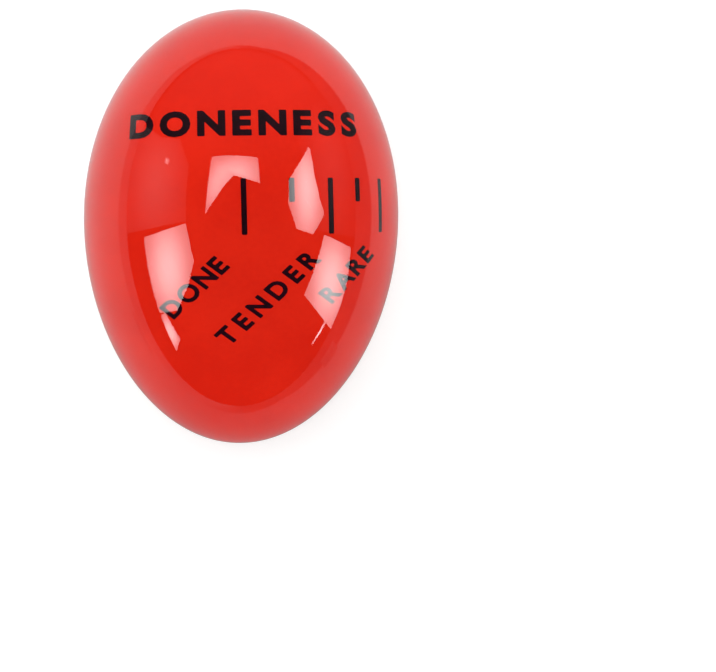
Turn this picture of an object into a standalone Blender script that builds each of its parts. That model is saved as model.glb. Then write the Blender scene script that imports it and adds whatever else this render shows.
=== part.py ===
"""Egg-shaped colour timer: a clear half egg over a printed colour layer on a clear flat-footed base.

Metres, +Z up. The origin is the middle of the foot, on the surface that it stands on.
+Y points to the broad end of the egg, and the printed scale reads along +X.
"""

import math

import bmesh
import bpy
from mathutils import Matrix, Vector

MM = 0.001

# Outline at the seam: an ellipse that is a little wider towards its broad end.
SEAM_WIDTH = 41.0 * MM
SEAM_LENGTH = 56.6 * MM
BROAD_END_SWELL = 0.045

# The stack, from the foot up. On the real object each layer is bonded to the next.
# Everything above the base is a slice of the same half egg, whose middle is at the seam.
BASE_HEIGHT = 16.5 * MM
BACKING_THICKNESS = 0.5 * MM
COLOUR_THICKNESS = 1.3 * MM
INK_THICKNESS = 0.1 * MM
DOME_RISE = 20.1 * MM

# Clearances between the solids, taken off the layer above or off the top of the base
SEAM_GAP = 0.3 * MM
INK_GAP = 0.2 * MM

# The cast base flares slightly to its foot, and its edges are broken.
BASE_DRAFT = math.radians(1.0)
FOOT_EDGE_RADIUS = 0.4 * MM
SEAM_EDGE_RADIUS = 0.12 * MM

OUTLINE_SIDES = 96
DOME_RINGS = 24

# The printed scale, on the colour layer's top face. It is turned a little off the egg's long axis.
PRINT_TURN = math.radians(1.9)
MARK_WIDTH = 0.5 * MM
MARK_CORNER = 0.12 * MM
MARK_TOP = 5.4 * MM
LONG_MARK = 6.1 * MM
SHORT_MARK = 2.6 * MM
MARK_PLACES = (0.3 * MM, 4.65 * MM, 8.3 * MM, 11.1 * MM, 14.0 * MM)

TITLE = "DONENESS"
TITLE_CAP_HEIGHT = 2.75 * MM
TITLE_LENGTH = 21.9 * MM
TITLE_CENTRE_X = 0.45 * MM
TITLE_BASELINE = 9.95 * MM
TITLE_WEIGHT = 0.05

# Each long mark is named by a word that climbs to the mark's foot. Weights thicken the letters' strokes.
WORD_SLOPE = math.radians(47.5)
WORD_CAP_HEIGHT = 1.95 * MM
WORD_WEIGHT = 0.035
WORDS = (
    # word, mark that it belongs to, length, how far its end is left of and below the mark's foot
    ("DONE", 0, 7.9 * MM, 2.05 * MM, 2.85 * MM),
    ("TENDER", 2, 12.9 * MM, 1.65 * MM, 2.2 * MM),
    ("RARE", 4, 7.1 * MM, 1.6 * MM, 2.0 * MM),
)

FONT_RESOLUTION = 4

BACKING_TOP = BASE_HEIGHT + BACKING_THICKNESS
COLOUR_TOP = BACKING_TOP + COLOUR_THICKNESS
INK_BOTTOM = COLOUR_TOP + INK_GAP
DOME_CUT = INK_BOTTOM + INK_THICKNESS + INK_GAP
FOOT_FLARE = BASE_HEIGHT * math.tan(BASE_DRAFT)


def clear_scene():
    for item in list(bpy.data.objects):
        bpy.data.objects.remove(item, do_unlink=True)


def new_collection(name):
    collection = bpy.data.collections.new(name)
    bpy.context.scene.collection.children.link(collection)
    return collection


def plain_material(name, colour, roughness, transmission=0.0, ior=1.5):
    material = bpy.data.materials.new(name)
    material.use_nodes = True
    shader = material.node_tree.nodes["Principled BSDF"]
    shader.inputs["Base Color"].default_value = (*colour, 1.0)
    shader.inputs["Roughness"].default_value = roughness
    shader.inputs["Metallic"].default_value = 0.0
    shader.inputs["Transmission Weight"].default_value = transmission
    shader.inputs["IOR"].default_value = ior
    return material


def clear_resin():
    return plain_material("clear_resin", (0.98, 0.98, 0.98), 0.03, transmission=1.0)


def tinted_resin():
    return plain_material("tinted_resin", (0.76, 0.74, 0.66), 0.05, transmission=1.0)


def backing_red():
    return plain_material("backing_red", (0.35, 0.01, 0.01), 0.35)


def heat_sensitive_red():
    return plain_material("heat_sensitive_red", (0.65, 0.01, 0.01), 0.4)


def printing_ink():
    return plain_material("printing_ink", (0.02, 0.004, 0.015), 0.35)


def on_egg(x, y, grow=0.0):
    """A point of the unit disc carried onto the egg's outline, which grow widens all round."""
    half_width = SEAM_WIDTH / 2 + grow
    half_length = SEAM_LENGTH / 2 + grow
    return x * half_width * (1 + BROAD_END_SWELL * y), y * half_length


def finish_mesh(name, shape, material, collection, smooth_angle=math.radians(40)):
    """Turn a bmesh into one named object whose broad curves are smooth and whose edges are sharp."""
    bmesh.ops.recalc_face_normals(shape, faces=shape.faces)
    mesh = bpy.data.meshes.new(name)
    shape.to_mesh(mesh)
    shape.free()
    mesh.shade_smooth()
    mesh.set_sharp_from_angle(angle=smooth_angle)
    mesh.materials.append(material)
    item = bpy.data.objects.new(name, mesh)
    collection.objects.link(item)
    return item


def round_edges(item, width, segments, weights=None):
    """Bevel an object's sharp edges. weights gives each edge its share of the width by height."""
    bevel = item.modifiers.new("edge_radius", "BEVEL")
    bevel.width = width
    bevel.segments = segments
    bevel.limit_method = "ANGLE"
    bevel.angle_limit = math.radians(50)
    if weights is None:
        return
    bevel.limit_method = "WEIGHT"
    mesh = item.data
    share = mesh.attributes.new("bevel_weight_edge", "FLOAT", "EDGE")
    for edge in mesh.edges:
        heights = [mesh.vertices[index].co.z for index in edge.vertices]
        if abs(heights[0] - heights[1]) < INK_THICKNESS:
            share.data[edge.index].value = weights(heights[0])


def make_base(collection):
    """The lower casting, flat on its foot, its sides a little wider at the foot than at the seam."""
    top = BASE_HEIGHT - SEAM_GAP
    shape = bmesh.new()
    bmesh.ops.create_cone(
        shape,
        cap_ends=True,
        segments=OUTLINE_SIDES,
        radius1=1.0,
        radius2=1.0,
        depth=1.0,
    )
    for vertex in shape.verts:
        height = top if vertex.co.z > 0 else 0.0
        x, y = on_egg(vertex.co.x, vertex.co.y, FOOT_FLARE * (1 - height / BASE_HEIGHT))
        vertex.co = Vector((x, y, height))
    base = finish_mesh("clear_base", shape, tinted_resin(), collection)

    def edge_share(height):
        return 1.0 if height < top / 2 else SEAM_EDGE_RADIUS / FOOT_EDGE_RADIUS

    round_edges(base, FOOT_EDGE_RADIUS, 3, edge_share)
    return base


def cut_flat(shape, height, keep_above):
    """Cut a closed shape at a height, close the cut and keep one side."""
    cut = bmesh.ops.bisect_plane(
        shape,
        geom=shape.verts[:] + shape.edges[:] + shape.faces[:],
        dist=0.0001 * MM,
        plane_co=(0.0, 0.0, height),
        plane_no=(0.0, 0.0, 1.0),
        clear_inner=keep_above,
        clear_outer=not keep_above,
    )
    rim = [part for part in cut["geom_cut"] if isinstance(part, bmesh.types.BMEdge)]
    bmesh.ops.edgeloop_fill(shape, edges=rim)


def egg_slice(bottom, top=None):
    """The upper half egg between two heights, or all of it above the lower one."""
    shape = bmesh.new()
    bmesh.ops.create_uvsphere(shape, u_segments=OUTLINE_SIDES, v_segments=2 * DOME_RINGS, radius=1.0)
    for vertex in shape.verts:
        swell = 1 + BROAD_END_SWELL * vertex.co.y
        x, y = on_egg(vertex.co.x, vertex.co.y)
        vertex.co = Vector((x, y, BASE_HEIGHT + vertex.co.z * DOME_RISE * swell))
    cut_flat(shape, bottom, keep_above=True)
    if top is not None:
        cut_flat(shape, top, keep_above=False)
    return shape


def make_discs(collection):
    """The thin backing disc on the base and the colour layer that it carries, flush with the castings."""
    backing = egg_slice(BASE_HEIGHT, BACKING_TOP)
    finish_mesh("backing_disc", backing, backing_red(), collection)
    colour = egg_slice(BACKING_TOP + SEAM_GAP, COLOUR_TOP)
    finish_mesh("colour_layer", colour, heat_sensitive_red(), collection)


def make_dome(collection):
    """The upper casting: the rest of the half egg, cut flat above the print."""
    dome = finish_mesh("clear_dome", egg_slice(DOME_CUT), clear_resin(), collection)
    round_edges(dome, SEAM_EDGE_RADIUS, 2)
    return dome


def place_print(item, x, y, turn=0.0):
    """Put a printed shape at a place in the scale's own axes, which are turned on the egg."""
    spot = Matrix.Rotation(PRINT_TURN, 3, "Z") @ Vector((x, y, 0.0))
    item.location = (spot.x, spot.y, INK_BOTTOM + INK_THICKNESS / 2)
    item.rotation_euler = (0.0, 0.0, PRINT_TURN + turn)


def make_mark(number, x, length, ink, collection):
    """One line of the scale, hung from the line that all of them start at."""
    shape = bmesh.new()
    bmesh.ops.create_cube(shape, size=1.0)
    bmesh.ops.scale(shape, vec=(MARK_WIDTH, length, INK_THICKNESS), verts=shape.verts)
    corners = [edge for edge in shape.edges if edge.verts[0].co.z * edge.verts[1].co.z < 0]
    bmesh.ops.bevel(shape, geom=corners, offset=MARK_CORNER, segments=3, profile=0.5, affect="EDGES")
    mark = finish_mesh(f"scale_mark_{number}", shape, ink, collection)
    place_print(mark, x, MARK_TOP - length / 2)
    return mark


def letter_shape(character, size, weight):
    """A letter as a closed flat solid, thickened by a share of its size, and its left and right edges."""
    curve = bpy.data.curves.new("letter", "FONT")
    curve.body = character
    curve.size = size
    curve.offset = weight * size
    curve.extrude = INK_THICKNESS / 2
    curve.resolution_u = FONT_RESOLUTION
    guide = bpy.data.objects.new("letter", curve)
    bpy.context.scene.collection.objects.link(guide)
    bpy.context.view_layer.update()
    drawn = guide.evaluated_get(bpy.context.evaluated_depsgraph_get())
    mesh = bpy.data.meshes.new_from_object(drawn)
    bpy.data.objects.remove(guide)
    shape = bmesh.new()
    shape.from_mesh(mesh)
    bpy.data.meshes.remove(mesh)
    bmesh.ops.remove_doubles(shape, verts=shape.verts, dist=0.001 * MM)
    across = [vertex.co.x for vertex in shape.verts]
    return shape, min(across), max(across)


def font_size_for(cap_height, weight):
    """The font size whose capital E has this height."""
    shape, _, _ = letter_shape("E", 1.0, weight)
    upright = [vertex.co.y for vertex in shape.verts]
    drawn_height = max(upright) - min(upright)
    shape.free()
    return cap_height / drawn_height


def make_word(word, cap_height, weight, length, end_x, end_y, slope, ink, collection):
    """Set a word so that its last letter ends at a point, its letters spread over its length."""
    size = font_size_for(cap_height, weight)
    letters = [letter_shape(character, size, weight) for character in word]
    inked = sum(right - left for _, left, right in letters)
    spacing = (length - inked) / (len(word) - 1)
    along = -length
    for number, (shape, left, right) in enumerate(letters, start=1):
        bmesh.ops.translate(shape, vec=(-left, weight * size, 0.0), verts=shape.verts)
        letter = finish_mesh(f"{word.lower()}_letter_{number}", shape, ink, collection)
        x = end_x + along * math.cos(slope)
        y = end_y + along * math.sin(slope)
        place_print(letter, x, y, slope)
        along += right - left + spacing


def make_print(collection):
    """The printed scale: a title, five marks of two lengths and a word for each long mark."""
    ink = printing_ink()
    for index, x in enumerate(MARK_PLACES):
        length = SHORT_MARK if index % 2 else LONG_MARK
        make_mark(index + 1, x, length, ink, collection)
    end_x = TITLE_CENTRE_X + TITLE_LENGTH / 2
    end_y = TITLE_BASELINE
    make_word(TITLE, TITLE_CAP_HEIGHT, TITLE_WEIGHT, TITLE_LENGTH, end_x, end_y, 0.0, ink, collection)
    for word, mark, length, left_of_mark, below_mark in WORDS:
        end_x = MARK_PLACES[mark] - left_of_mark
        end_y = MARK_TOP - LONG_MARK - below_mark
        # The slope's own up direction lifts the middle of the word's height onto that point.
        end_x += WORD_CAP_HEIGHT / 2 * math.sin(WORD_SLOPE)
        end_y -= WORD_CAP_HEIGHT / 2 * math.cos(WORD_SLOPE)
        make_word(word, WORD_CAP_HEIGHT, WORD_WEIGHT, length, end_x, end_y, WORD_SLOPE, ink, collection)


def main():
    clear_scene()
    collection = new_collection("egg_timer")
    make_base(collection)
    make_discs(collection)
    make_dome(collection)
    make_print(collection)


main()
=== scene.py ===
"""Looks for the egg-shaped colour timer: fine castings, the printed red disc in them, and a white studio."""

import math

import bmesh
import bpy
from mathutils import Matrix, Vector


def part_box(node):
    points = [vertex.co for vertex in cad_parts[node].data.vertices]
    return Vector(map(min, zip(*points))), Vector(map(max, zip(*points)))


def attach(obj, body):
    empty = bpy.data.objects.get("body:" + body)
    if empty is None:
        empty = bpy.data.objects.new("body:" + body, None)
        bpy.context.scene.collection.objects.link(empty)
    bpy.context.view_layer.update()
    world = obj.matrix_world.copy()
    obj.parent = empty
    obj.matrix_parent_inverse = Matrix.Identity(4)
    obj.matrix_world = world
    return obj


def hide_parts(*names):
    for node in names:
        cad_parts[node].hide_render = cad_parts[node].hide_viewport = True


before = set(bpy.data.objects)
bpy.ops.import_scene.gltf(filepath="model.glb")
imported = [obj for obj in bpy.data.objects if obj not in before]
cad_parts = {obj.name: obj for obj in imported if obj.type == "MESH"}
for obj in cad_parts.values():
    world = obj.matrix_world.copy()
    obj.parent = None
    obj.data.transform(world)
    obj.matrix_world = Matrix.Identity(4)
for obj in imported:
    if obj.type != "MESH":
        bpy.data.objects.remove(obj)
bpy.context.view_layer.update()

MM = 0.001

# The egg's outline law, the same as the solids'. Its sizes are read from the frame.
BROAD_END_SWELL = 0.045
WIDEST = 1 + BROAD_END_SWELL**2 / 2
BACKING_LOW, BACKING_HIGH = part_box("backing_disc")
BASE_LOW, BASE_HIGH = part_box("clear_base")
SEAM_LENGTH = BACKING_HIGH.y - BACKING_LOW.y
SEAM_WIDTH = (BACKING_HIGH.x - BACKING_LOW.x) / WIDEST
FOOT_FLARE = (BASE_HIGH.y - BASE_LOW.y - SEAM_LENGTH) / 2
SEAM = BACKING_LOW.z
BACKING_TOP = BACKING_HIGH.z
PRINT_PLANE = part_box("colour_layer")[1].z
DOME_RISE = (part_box("clear_dome")[1].z - SEAM) / WIDEST

# How finely the castings are rounded, and the edges, films and beads on them
SIDES = 384
DOME_RINGS = 112
FOOT_EDGE_RADIUS = 0.4 * MM
SEAM_EDGE_RADIUS = 0.18 * MM
WALL_INSET = 0.3 * MM
WALL_RINGS = 12
SKIN_INSET = 0.02 * MM
SKIN_THICKNESS = 0.04 * MM
SEAM_BEAD_HEIGHT = 0.12 * MM
SEAM_BEAD_DEPTH = 0.25 * MM
SEAM_BEAD_SHOULDER = 0.3 * SEAM_BEAD_HEIGHT
CONTACT = 0.01 * MM
INK_FILM = 0.02 * MM
INK_CORNER = 0.09 * MM
INK_CORNER_ANGLE = math.radians(40)
# Above this angle an edge is shaded sharp; below this distance points are one
SHARP_ANGLE = math.radians(35)
WELD = 0.001 * MM
CUT_TOLERANCE = 0.0001 * MM


# ---------------------------------------------------------------- node helpers


class Nodes:
    """A material's or world's node tree, with short calls to add and join nodes."""

    def __init__(self, tree):
        self.tree = tree
        tree.nodes.clear()

    def add(self, kind, **settings):
        node = self.tree.nodes.new(kind)
        for name, value in settings.items():
            setattr(node, name, value)
        return node

    def join(self, source, target):
        self.tree.links.new(source, target)

    def math(self, operation, first, second=0.0, clamp=False):
        node = self.add("ShaderNodeMath", operation=operation, use_clamp=clamp)
        for socket, value in zip(node.inputs, (first, second)):
            if isinstance(value, bpy.types.NodeSocket):
                self.join(value, socket)
            else:
                socket.default_value = value
        return node.outputs[0]

    def span(self, value, low, high, to_low=0.0, to_high=1.0, smooth=True):
        node = self.add("ShaderNodeMapRange", interpolation_type="SMOOTHSTEP" if smooth else "LINEAR")
        self.join(value, node.inputs["Value"])
        node.inputs["From Min"].default_value = low
        node.inputs["From Max"].default_value = high
        node.inputs["To Min"].default_value = to_low
        node.inputs["To Max"].default_value = to_high
        return node.outputs["Result"]

    def mix(self, factor, first, second, kind="RGBA"):
        node = self.add("ShaderNodeMix", data_type=kind)
        sockets = [s for s in node.inputs if s.enabled]
        result = [s for s in node.outputs if s.enabled][0]
        for socket, value in zip(sockets, (factor, first, second)):
            if isinstance(value, bpy.types.NodeSocket):
                self.join(value, socket)
            elif isinstance(value, tuple):
                socket.default_value = (*value, 1.0)
            else:
                socket.default_value = value
        return result

    def noise(self, vector, scale, detail):
        node = self.add("ShaderNodeTexNoise")
        self.join(vector, node.inputs["Vector"])
        node.inputs["Scale"].default_value = scale
        node.inputs["Detail"].default_value = detail
        return node.outputs["Fac"]

    def bump(self, height, strength, distance):
        node = self.add("ShaderNodeBump")
        self.join(height, node.inputs["Height"])
        node.inputs["Strength"].default_value = strength
        node.inputs["Distance"].default_value = distance
        return node.outputs["Normal"]


def new_material(name):
    """A material with an empty tree, its Principled shader and its output joined."""
    material = bpy.data.materials.new(name)
    material.use_nodes = True
    nodes = Nodes(material.node_tree)
    shader = nodes.add("ShaderNodeBsdfPrincipled")
    output = nodes.add("ShaderNodeOutputMaterial")
    nodes.join(shader.outputs["BSDF"], output.inputs["Surface"])
    place = nodes.add("ShaderNodeTexCoord").outputs["Object"]
    return material, nodes, shader, output, place


# ---------------------------------------------------------------- materials


RESIN_REFRACTION = 1.55
RESIN_HAZE = 0.012


def casting_resin(name):
    """Clear resin, polished, with a trace of haze in patches."""
    material, nodes, shader, output, place = new_material(name)
    shader.inputs["Base Color"].default_value = (1.0, 1.0, 1.0, 1.0)
    shader.inputs["Transmission Weight"].default_value = 1.0
    shader.inputs["IOR"].default_value = RESIN_REFRACTION
    haze = nodes.noise(place, 90.0, 4.0)
    nodes.join(nodes.span(haze, 0.45, 0.8, 0.0, RESIN_HAZE), shader.inputs["Roughness"])
    return material, nodes, shader, output, place


def clear_resin():
    """Water-clear resin, with the faint ripple of a hand-polished casting."""
    material, nodes, shader, _, place = casting_resin("clear_resin")
    ripple = nodes.noise(place, 55.0, 2.0)
    nodes.join(nodes.bump(ripple, 0.05, 0.2 * MM), shader.inputs["Normal"])
    return material


def tinted_resin():
    """Resin with a slight grey-beige tint in its depth."""
    material, nodes, _, output, _ = casting_resin("tinted_resin")
    depth = nodes.add("ShaderNodeVolumeAbsorption")
    depth.inputs["Color"].default_value = (0.735, 0.69, 0.53, 1.0)
    depth.inputs["Density"].default_value = 28.0
    nodes.join(depth.outputs["Volume"], output.inputs["Volume"])
    return material


def reach_out(nodes, place, shift=(0.0, 0.0, 0.0)):
    """How far out a point lies, from 0 in the middle to 1 at the outline, measured from a shifted middle."""
    share = nodes.add("ShaderNodeVectorMath", operation="MULTIPLY_ADD")
    nodes.join(place, share.inputs[0])
    share.inputs[1].default_value = (2 / SEAM_WIDTH, 2 / SEAM_LENGTH, 0.0)
    share.inputs[2].default_value = shift
    reach = nodes.add("ShaderNodeVectorMath", operation="LENGTH")
    nodes.join(share.outputs["Vector"], reach.inputs[0])
    return reach.outputs["Value"]


def sanded_foot_painted_red_light():
    """The ground underside of the base: resin dust swept in arcs by the sanding. Its orange is painted light,
    the red glow of the disc above, and its deeper red towards the rim is a painted reflection of the disc.
    """
    material, nodes, shader, _, place = new_material("sanded_foot_painted_red_light")
    arcs = nodes.add("ShaderNodeTexWave", wave_type="RINGS", rings_direction="Z")
    shift = nodes.add("ShaderNodeVectorMath", operation="ADD")
    nodes.join(place, shift.inputs[0])
    shift.inputs[1].default_value = (0.03, 0.07, 0.0)
    nodes.join(shift.outputs["Vector"], arcs.inputs["Vector"])
    arcs.inputs["Scale"].default_value = 420.0
    arcs.inputs["Distortion"].default_value = 9.0
    arcs.inputs["Detail"].default_value = 4.0
    tone = nodes.math("ADD", nodes.math("MULTIPLY", arcs.outputs["Fac"], 0.5), nodes.noise(place, 260.0, 4.0))
    # Painted light: the orange tones stand in for the red light that the disc casts on the frosted face.
    ground = nodes.mix(nodes.span(tone, 0.5, 1.0), (0.96, 0.45, 0.15), (1.0, 0.66, 0.32))
    # Painted reflection: towards the rim the face turns deep red, as if the rounded rim mirrored the disc.
    rim = nodes.span(reach_out(nodes, place), 0.6, 0.98)
    nodes.join(nodes.mix(rim, ground, (0.97, 0.20, 0.02)), shader.inputs["Base Color"])
    shader.inputs["Roughness"].default_value = 0.7
    shader.inputs["Specular IOR Level"].default_value = 0.0
    return material


def layer_red(name, low, high, dark, bright):
    """Red resin between two heights: matt and mottled faces with painted light, lighter outwards and towards
    +Y and -X, and a polished edge.
    """
    material, nodes, shader, _, place = new_material(name)
    cloud = nodes.noise(place, 120.0, 3.0)
    grain = nodes.noise(place, 1800.0, 3.0)
    blotch = nodes.math("ADD", nodes.math("MULTIPLY", cloud, 0.75), nodes.math("MULTIPLY", grain, 0.25))
    mottle = nodes.span(blotch, 0.35, 0.65)
    # Painted light: the faces turn lighter towards the outline, most towards +Y and -X, where more light
    # reaches the disc; only the mottle is the layer's own.
    middle = nodes.mix(mottle, (0.62, 0.013, 0.004), (0.68, 0.017, 0.005))
    outer = nodes.mix(mottle, (0.92, 0.018, 0.004), (0.99, 0.023, 0.006))
    face = nodes.mix(nodes.span(reach_out(nodes, place, (-0.1, 0.15, 0.0)), 0.1, 1.05), middle, outer)
    height = nodes.add("ShaderNodeSeparateXYZ")
    nodes.join(place, height.inputs["Vector"])
    side = nodes.mix(nodes.span(height.outputs["Z"], low, high, smooth=False), dark, bright)
    facing = nodes.add("ShaderNodeSeparateXYZ")
    nodes.join(nodes.add("ShaderNodeNewGeometry").outputs["Normal"], facing.inputs["Vector"])
    edge = nodes.span(nodes.math("ABSOLUTE", facing.outputs["Z"]), 0.5, 0.7, 1.0, 0.0)
    nodes.join(nodes.mix(edge, face, side), shader.inputs["Base Color"])
    nodes.join(edge, shader.inputs["Coat Weight"])
    shader.inputs["Coat Roughness"].default_value = 0.03
    shader.inputs["Roughness"].default_value = 0.5
    shader.inputs["Specular IOR Level"].default_value = 0.0
    return material


def printing_ink():
    """Dense blue-black screen ink that is slightly uneven."""
    material, nodes, shader, _, place = new_material("printing_ink")
    density = nodes.span(nodes.noise(place, 900.0, 4.0), 0.3, 0.7)
    ink = nodes.mix(density, (0.010, 0.0004, 0.003), (0.014, 0.0008, 0.005))
    nodes.join(ink, shader.inputs["Base Color"])
    shader.inputs["Roughness"].default_value = 0.5
    shader.inputs["Specular IOR Level"].default_value = 0.0
    return material


def seam_highlight_cream():
    """The pale cream line at the seam: a painted highlight, the light that the seam's edge catches."""
    material, nodes, shader, _, place = new_material("seam_highlight_colour")
    tone = nodes.noise(place, 700.0, 3.0)
    # Painted highlight: the pale cream stands in for the light that the seam's edge catches.
    nodes.join(nodes.mix(tone, (0.78, 0.62, 0.46), (0.9, 0.8, 0.66)), shader.inputs["Base Color"])
    shader.inputs["Roughness"].default_value = 0.35
    return material


def in_reflection(nodes, path):
    """1 on rays that a polished surface has mirrored, and 0 on others, refracted ones among them."""
    glossy, passing = path.outputs["Is Glossy Ray"], path.outputs["Is Transmission Ray"]
    return nodes.math("SUBTRACT", glossy, passing, clamp=True)


def floor_white():
    """A white board on a dark table: washed out where the camera sees it, its grey tone in reflections, with
    painted light that makes the board lighter towards +Y.
    """
    material, nodes, shader, _, place = new_material("studio_floor")
    path = nodes.add("ShaderNodeLightPath")
    seen = path.outputs["Is Camera Ray"]
    mirrored = in_reflection(nodes, path)
    tone = nodes.noise(place, 3.0, 2.0)
    paper = nodes.mix(tone, (0.62, 0.62, 0.62), (0.66, 0.66, 0.66))
    away = nodes.add("ShaderNodeVectorMath", operation="NORMALIZE")
    nodes.join(place, away.inputs[0])
    # Painted light: the board turns lighter towards +Y and a little towards -X.
    lean = nodes.add("ShaderNodeVectorMath", operation="DOT_PRODUCT")
    nodes.join(away.outputs["Vector"], lean.inputs[0])
    lean.inputs[1].default_value = BOARD_PAINTED_LIGHT_LEAN
    board = nodes.math("ADD", lean.outputs["Value"], BOARD_TONE)
    from_middle = nodes.add("ShaderNodeVectorMath", operation="SUBTRACT")
    nodes.join(place, from_middle.inputs[0])
    from_middle.inputs[1].default_value = BOARD_MIDDLE
    spread = nodes.add("ShaderNodeSeparateXYZ")
    nodes.join(from_middle.outputs["Vector"], spread.inputs["Vector"])
    on_board = 1.0
    for axis, half in zip("XY", BOARD_HALF):
        reach = nodes.math("ABSOLUTE", spread.outputs[axis])
        inside = nodes.span(reach, (1 - BOARD_BLUR) * half, (1 + BOARD_BLUR) * half, 1.0, 0.0)
        on_board = nodes.math("MULTIPLY", inside, on_board)
    table = nodes.span(spread.outputs["X"], -TABLE_TURN, TABLE_TURN, *TABLE_TONES)
    grey = nodes.mix(on_board, table, board, "FLOAT")
    shade = nodes.add("ShaderNodeCombineColor")
    for channel in ("Red", "Green", "Blue"):
        nodes.join(grey, shade.inputs[channel])
    nodes.join(nodes.mix(mirrored, paper, shade.outputs["Color"]), shader.inputs["Base Color"])
    shader.inputs["Emission Color"].default_value = (1.0, 1.0, 1.0, 1.0)
    nodes.join(nodes.math("MULTIPLY", seen, FLOOR_GLOW), shader.inputs["Emission Strength"])
    shader.inputs["Roughness"].default_value = 0.8
    shader.inputs["Specular IOR Level"].default_value = 0.0
    return material


# ---------------------------------------------------------------- shapes


def outline(angle, grow):
    """A point of the egg's outline at an angle round it, set outwards by grow."""
    x, y = math.cos(angle), math.sin(angle)
    return x * (SEAM_WIDTH / 2 + grow) * (1 + BROAD_END_SWELL * y), y * (SEAM_LENGTH / 2 + grow)


def add_ring(shape, height, grow):
    """Points along the egg's outline at a height, without faces."""
    ring = []
    for step in range(SIDES):
        x, y = outline(2 * math.pi * step / SIDES, grow)
        ring.append(shape.verts.new((x, y, height)))
    return ring


def add_wall(shape, lower, upper):
    """Faces between two rings."""
    for step in range(SIDES):
        after = (step + 1) % SIDES
        shape.faces.new((lower[step], lower[after], upper[after], upper[step]))


def finish_piece(name, shape, material):
    """Make one visible piece from a bmesh, riding on the timer's single body."""
    bmesh.ops.recalc_face_normals(shape, faces=shape.faces)
    mesh = bpy.data.meshes.new(name)
    shape.to_mesh(mesh)
    shape.free()
    mesh.shade_smooth()
    mesh.set_sharp_from_angle(angle=SHARP_ANGLE)
    mesh.materials.append(material)
    piece = bpy.data.objects.new(name, mesh)
    bpy.context.scene.collection.objects.link(piece)
    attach(piece, "root")
    return piece


def loft(profile):
    """A closed slab through rings given as height and outward offset, from its underside upwards."""
    shape = bmesh.new()
    rings = [add_ring(shape, height, grow) for height, grow in profile]
    for lower, upper in zip(rings, rings[1:]):
        add_wall(shape, lower, upper)
    shape.faces.new(list(reversed(rings[0])))
    shape.faces.new(rings[-1])
    return shape


def quarter(radius, steps, start, centre_height, centre_grow):
    """The points of a rounded edge, turning through a quarter circle from the start angle."""
    for step in range(steps + 1):
        angle = start + math.pi / 2 * step / steps
        yield centre_height + radius * math.sin(angle), centre_grow + radius * math.cos(angle)


def foot_edge(radius):
    """The rounded edge of the foot, or a smaller one around the same centre, from the underside upwards."""
    return list(quarter(radius, 8, -math.pi / 2, FOOT_EDGE_RADIUS, FOOT_FLARE - FOOT_EDGE_RADIUS))


def make_base():
    """The lower casting, up to the underside of the disc that it is bonded to."""
    top = SEAM + CONTACT
    profile = foot_edge(FOOT_EDGE_RADIUS)
    wall_low, wall_high = FOOT_EDGE_RADIUS + WALL_INSET, top - SEAM_EDGE_RADIUS - WALL_INSET
    for step in range(WALL_RINGS + 1):
        height = wall_low + (wall_high - wall_low) * step / WALL_RINGS
        profile.append((height, FOOT_FLARE * (1 - height / top)))
    profile += quarter(SEAM_EDGE_RADIUS, 4, 0.0, top - SEAM_EDGE_RADIUS, -SEAM_EDGE_RADIUS)
    base = finish_piece("base_casting", loft(profile), tinted_resin())
    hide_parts("clear_base")


def make_foot():
    """The sanded skin just inside the base's underside, turned up a little round its edge."""
    outer = foot_edge(FOOT_EDGE_RADIUS - SKIN_INSET)
    inner = foot_edge(FOOT_EDGE_RADIUS - SKIN_INSET - SKIN_THICKNESS)
    profile = outer + inner[::-1]
    finish_piece("sanded_foot_painted_red_light", loft(profile), sanded_foot_painted_red_light())


def make_seam_highlight_line():
    """The pale bead that fills the broken edge at the seam; its cream colour is a painted highlight of the
    seam's edge.
    """
    shape = bmesh.new()
    top, bottom = SEAM + 0.5 * CONTACT, SEAM - SEAM_BEAD_HEIGHT
    profile = [(bottom, -SEAM_BEAD_DEPTH), (bottom, -0.4 * SEAM_BEAD_DEPTH), (bottom + SEAM_BEAD_SHOULDER, 0.0)]
    profile += [(top - SEAM_BEAD_SHOULDER, 0.01 * MM), (top, -0.02 * MM), (top, -SEAM_BEAD_DEPTH)]
    rings = [add_ring(shape, height, grow) for height, grow in profile]
    for lower, upper in zip(rings, rings[1:] + rings[:1]):
        add_wall(shape, lower, upper)
    finish_piece("seam_highlight_line", shape, seam_highlight_cream())


def cut_flat(shape, height, keep_above):
    """Cut a closed shape at a height, close the cut and keep one side."""
    cut = bmesh.ops.bisect_plane(
        shape,
        geom=shape.verts[:] + shape.edges[:] + shape.faces[:],
        dist=CUT_TOLERANCE,
        plane_co=(0.0, 0.0, height),
        plane_no=(0.0, 0.0, 1.0),
        clear_inner=keep_above,
        clear_outer=not keep_above,
    )
    rim = [part for part in cut["geom_cut"] if isinstance(part, bmesh.types.BMEdge)]
    bmesh.ops.edgeloop_fill(shape, edges=rim)


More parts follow.
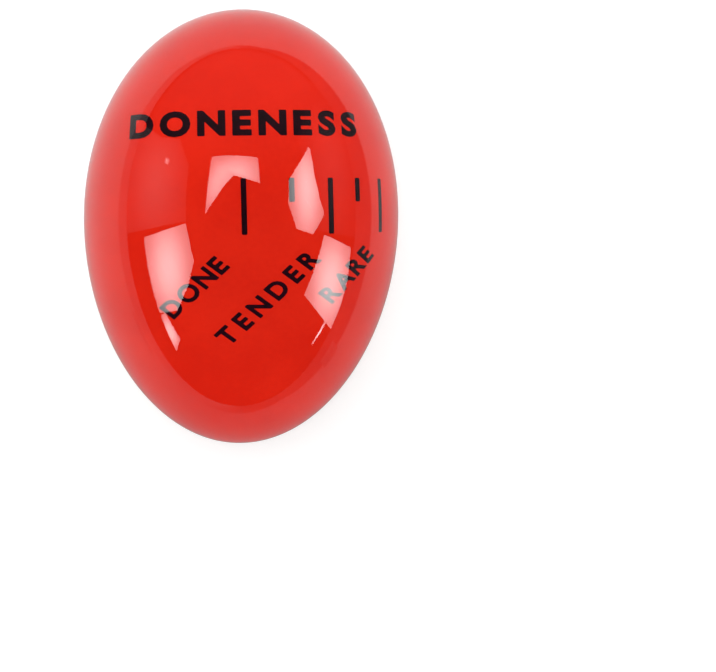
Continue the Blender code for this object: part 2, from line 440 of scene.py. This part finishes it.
def egg_slice(bottom, top=None, inset=0.0):
    """The upper half egg between two heights, or all of it above the lower one."""
    shape = bmesh.new()
    rings = []
    for step in range(-1, DOME_RINGS):
        latitude = math.pi / 2 * step / DOME_RINGS
        ring = []
        for side in range(SIDES):
            angle = 2 * math.pi * side / SIDES
            along = math.sin(angle) * math.cos(latitude)
            swell = 1 + BROAD_END_SWELL * along
            x = math.cos(angle) * math.cos(latitude) * (SEAM_WIDTH / 2 - inset) * swell
            y = along * (SEAM_LENGTH / 2 - inset)
            ring.append(shape.verts.new((x, y, SEAM + math.sin(latitude) * DOME_RISE * swell)))
        rings.append(ring)
    for lower, upper in zip(rings, rings[1:]):
        add_wall(shape, lower, upper)
    crown = shape.verts.new((0.0, 0.0, SEAM + DOME_RISE))
    for side in range(SIDES):
        shape.faces.new((rings[-1][side], rings[-1][(side + 1) % SIDES], crown))
    cut_flat(shape, bottom, keep_above=True)
    if top is not None:
        cut_flat(shape, top, keep_above=False)
    return shape


def make_layers():
    """The dark backing disc on the base and the red layer that it carries, flush with the castings."""
    dark, deep = (0.17, 0.003, 0.003), (0.26, 0.003, 0.003)
    shape = egg_slice(SEAM, BACKING_TOP, CONTACT)
    look = layer_red("backing_red", SEAM, BACKING_TOP, dark, deep)
    backing = finish_piece("backing", shape, look)
    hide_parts("backing_disc")
    deep, bright = (0.30, 0.003, 0.003), (0.6, 0.006, 0.004)
    shape = egg_slice(BACKING_TOP + CONTACT, PRINT_PLANE, CONTACT)
    look = layer_red("heat_sensitive_red", BACKING_TOP, PRINT_PLANE, deep, bright)
    colour = finish_piece("colour", shape, look)
    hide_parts("colour_layer")


def make_dome():
    """The upper casting, a half egg that stands on the printed face."""
    dome = finish_piece("dome_casting", egg_slice(PRINT_PLANE - CONTACT), clear_resin())
    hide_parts("clear_dome")


def soften_corners(shape):
    """Round a printed patch's outline where two of its sides meet at a clear angle."""
    corners = []
    for edge in shape.edges:
        low, high = (vertex.co for vertex in edge.verts)
        upright = abs(low.x - high.x) + abs(low.y - high.y) < WELD
        if upright and len(edge.link_faces) == 2 and edge.calc_face_angle() > INK_CORNER_ANGLE:
            corners.append(edge)
    bmesh.ops.bevel(
        shape,
        geom=corners,
        offset=INK_CORNER,
        segments=3,
        profile=0.5,
        affect="EDGES",
        clamp_overlap=True,
    )


def make_print():
    """Each printed patch, taken down to a thin film on the disc, with the soft corners of screen ink."""
    ink = printing_ink()
    for name in sorted(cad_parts):
        if "_letter_" not in name and "scale_mark_" not in name:
            continue
        shape = bmesh.new()
        shape.from_mesh(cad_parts[name].data)
        bmesh.ops.remove_doubles(shape, verts=shape.verts, dist=WELD)
        soften_corners(shape)
        middle = (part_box(name)[0].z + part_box(name)[1].z) / 2
        for vertex in shape.verts:
            vertex.co.z = PRINT_PLANE + (INK_FILM if vertex.co.z > middle else -CONTACT)
        bmesh.ops.remove_doubles(shape, verts=shape.verts, dist=WELD)
        patch = finish_piece(f"print_{name}", shape, ink)
        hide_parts(name)


# ---------------------------------------------------------------- studio


# The room's light, and how much more of it comes along each axis
ROOM_LIGHT = 1.84
LIGHT_LEAN = (-0.25, 0.55, -0.45)
# What the camera sees: the floor's own glow, and the backdrop
FLOOR_GLOW = 0.5
BACKDROP = 1.1
# What polished surfaces mirror of the room, at its front and at its back wall
MIRRORED_ROOM = (0.05, 0.2)
# The white board that the timer stands on, as its polished surfaces mirror it, with painted light that makes
# it lighter towards +Y and a little towards -X
BOARD_MIDDLE = (-0.045, 0.14, 0.0)
BOARD_HALF = (0.145, 0.36)
BOARD_BLUR = 0.04
BOARD_TONE = 0.56
BOARD_PAINTED_LIGHT_LEAN = (-0.04, 0.17, 0.0)
# The table beyond it, whose tone turns from left to right
TABLE_TURN = 0.1
TABLE_TONES = (0.38, 0.18)
FLOOR_HALF = 3.0
FLOOR_GAP = 0.02 * MM


def make_floor():
    """The studio's floor, just below the foot."""
    shape = bmesh.new()
    bmesh.ops.create_grid(shape, x_segments=8, y_segments=8, size=FLOOR_HALF)
    bmesh.ops.translate(shape, vec=(0.0, 0.0, -FLOOR_GAP), verts=shape.verts)
    mesh = bpy.data.meshes.new("studio_floor")
    shape.to_mesh(mesh)
    shape.free()
    mesh.materials.append(floor_white())
    floor = bpy.data.objects.new("studio_floor", mesh)
    bpy.context.scene.collection.objects.link(floor)


def heading(azimuth, elevation):
    """A unit vector: azimuth is measured from +Y towards +X, elevation above the floor."""
    a, e = math.radians(azimuth), math.radians(elevation)
    return Vector((math.sin(a) * math.cos(e), math.cos(a) * math.cos(e), math.sin(e)))


# How much of its strength a card has at its middle and at its edges
CARD_MIDDLE = 1.3
CARD_EDGE = 0.45
# How far the cards stand from the foot's middle. The flags keep the near lamps out of the dome's reflections.
SOFTBOX = 1.2
PANEL = 1.3
NEAR_LAMP = 0.11
STRIP_FLAG = 0.0465
LAMP_FLAG = 0.0472
OVERHEAD_CORNERS = ((-42, 58), (25, 64), (44, 72), (15, 75), (-20, 73), (-49, 73), (-88, 65))
STRIP_CORNERS = ((127.3, 0.2), (127.3, 6.8), (128.8, 7.5), (132.2, 7.5), (133.7, 6.8), (133.7, 0.2))
LOW_LAMP_CORNERS = (
    (-130.5, 6.3), (-128, 5.9), (-121, 5.9), (-118.5, 6.3),
    (-118.5, 6.6), (-121, 7), (-128, 7), (-130.5, 6.6),
)
CARDS = (
    # Name, distance, strength, then corners: azimuth and elevation from the foot's middle, in degrees
    ("softbox_left", SOFTBOX, 8.0, ((-97, 17), (-94, 51), (-117, 53), (-125, 44), (-128, 30), (-122, 16))),
    ("softbox_left_edge", SOFTBOX, 8.0, ((-123, 16), (-124, 20.5), (-136.5, 21.5), (-137.5, 13))),
    ("softbox_overhead", SOFTBOX, 8.0, OVERHEAD_CORNERS),
    ("softbox_right", SOFTBOX, 8.0, ((58, 30), (74, 29), (88, 29), (97, 38), (96, 51), (80, 57), (66, 54))),
    ("softbox_right_low", SOFTBOX, 8.0, ((96, 29), (98, 4), (108, 1), (122, 1), (122, 34))),
    ("softbox_right_edge", SOFTBOX, 8.0, ((121, 7.6), (131.5, 9.6), (131.5, 11), (121, 9.6))),
    ("panel_left", PANEL, 0.65, ((-62, 1), (-61, 20), (-55, 34), (-62, 47), (-93, 51), (-95, 1))),
    ("lamp_left", SOFTBOX, 3.5, ((-66.5, 28.5), (-66.5, 32.5), (-69, 32.5), (-69, 28.5))),
    ("panel_right", PANEL, 0.3, ((40, 1), (50, 38), (95, 38), (95, 1))),
    ("strip_light", NEAR_LAMP, 16.0, STRIP_CORNERS),
    ("strip_flag", STRIP_FLAG, 0.35, ((131.4, 26.2), (131.4, 33.8), (140, 33.8), (140, 26.2))),
    ("lamp_low", NEAR_LAMP, 16.0, LOW_LAMP_CORNERS),
    ("lamp_flag", LAMP_FLAG, 0.5, ((-137, 30), (-137, 33), (-121, 33), (-121, 30))),
)


def card_glow(name, middle, edge):
    """A diffuser that fades from its middle to its edges."""
    material = bpy.data.materials.new(name)
    material.use_nodes = True
    nodes = Nodes(material.node_tree)
    place = nodes.add("ShaderNodeTexCoord").outputs["Generated"]
    away = nodes.add("ShaderNodeVectorMath", operation="DISTANCE")
    nodes.join(place, away.inputs[0])
    away.inputs[1].default_value = (0.5, 0.5, 0.5)
    fall = nodes.span(away.outputs["Value"], 0.0, 0.72, middle, edge)
    glow = nodes.add("ShaderNodeEmission")
    nodes.join(fall, glow.inputs["Strength"])
    output = nodes.add("ShaderNodeOutputMaterial")
    nodes.join(glow.outputs["Emission"], output.inputs["Surface"])
    return material


def make_softboxes():
    """Cards that fade to their edges and evenly lit flags, seen only in the timer's polished surfaces."""
    for name, distance, strength, corners in CARDS:
        shape = bmesh.new()
        around = [shape.verts.new(heading(*corner) * distance) for corner in corners]
        shape.faces.new(around)
        mesh = bpy.data.meshes.new(name)
        shape.to_mesh(mesh)
        shape.free()
        middle, edge = (1.0, 1.0) if name.endswith("_flag") else (CARD_MIDDLE, CARD_EDGE)
        mesh.materials.append(card_glow(name, strength * middle, strength * edge))
        card = bpy.data.objects.new(name, mesh)
        bpy.context.scene.collection.objects.link(card)
        card.visible_camera = False
        card.visible_diffuse = False
        card.visible_transmission = False
        card.visible_shadow = False


def make_world():
    """A white room: bright all round for light, with darker front and ceiling where it is mirrored."""
    world = bpy.data.worlds.new("studio")
    bpy.context.scene.world = world
    world.use_nodes = True
    nodes = Nodes(world.node_tree)
    direction = nodes.add("ShaderNodeTexCoord").outputs["Generated"]
    axes = nodes.add("ShaderNodeSeparateXYZ")
    nodes.join(direction, axes.inputs["Vector"])
    ahead, up = axes.outputs["Y"], axes.outputs["Z"]
    back_wall = nodes.math("MULTIPLY", ahead, nodes.span(up, -0.1, 0.1))
    mirrored = nodes.span(back_wall, 0.2, 0.95, *MIRRORED_ROOM)
    path = nodes.add("ShaderNodeLightPath")
    lean = nodes.add("ShaderNodeVectorMath", operation="DOT_PRODUCT")
    nodes.join(direction, lean.inputs[0])
    lean.inputs[1].default_value = LIGHT_LEAN
    room = nodes.math("MULTIPLY", nodes.math("ADD", lean.outputs["Value"], 1.0), ROOM_LIGHT)
    light = nodes.mix(in_reflection(nodes, path), room, mirrored, "FLOAT")
    strength = nodes.mix(path.outputs["Is Camera Ray"], light, BACKDROP, "FLOAT")
    glow = nodes.add("ShaderNodeBackground")
    glow.inputs["Color"].default_value = (1.0, 1.0, 1.0, 1.0)
    nodes.join(strength, glow.inputs["Strength"])
    output = nodes.add("ShaderNodeOutputWorld")
    nodes.join(glow.outputs["Background"], output.inputs["Surface"])


LENS = 186.0
SENSOR = 36.0
CAMERA_HEIGHT = 0.5
# Where the egg's middle lies from the frame's middle, in egg widths, and how far its axis leans.
EGG_RIGHT = -0.371
EGG_UP = 0.348
EGG_LEAN = math.radians(0.9)


def make_camera():
    """Straight above the egg, turned aside so that the egg lies up and to the left in the frame."""
    data = bpy.data.cameras.new("camera")
    data.lens = LENS
    data.sensor_width = SENSOR
    camera = bpy.data.objects.new("camera", data)
    bpy.context.scene.collection.objects.link(camera)
    camera.location = (0.0, 0.0, CAMERA_HEIGHT)
    roll = Matrix.Rotation(EGG_LEAN, 3, "Z")
    aim = roll @ Vector((-EGG_RIGHT * SEAM_WIDTH, -EGG_UP * SEAM_WIDTH, PRINT_PLANE - CAMERA_HEIGHT))
    depth = -aim.normalized()
    right = (roll @ Vector((0.0, 1.0, 0.0))).cross(depth).normalized()
    up = depth.cross(right)
    camera.rotation_mode = "QUATERNION"
    camera.rotation_quaternion = Matrix((right, up, depth)).transposed().to_quaternion()
    bpy.context.scene.camera = camera


make_base()
make_foot()
make_seam_highlight_line()
make_layers()
make_dome()
make_print()
make_floor()
make_softboxes()
make_world()
make_camera()
bpy.context.scene.view_settings.view_transform = "Standard"
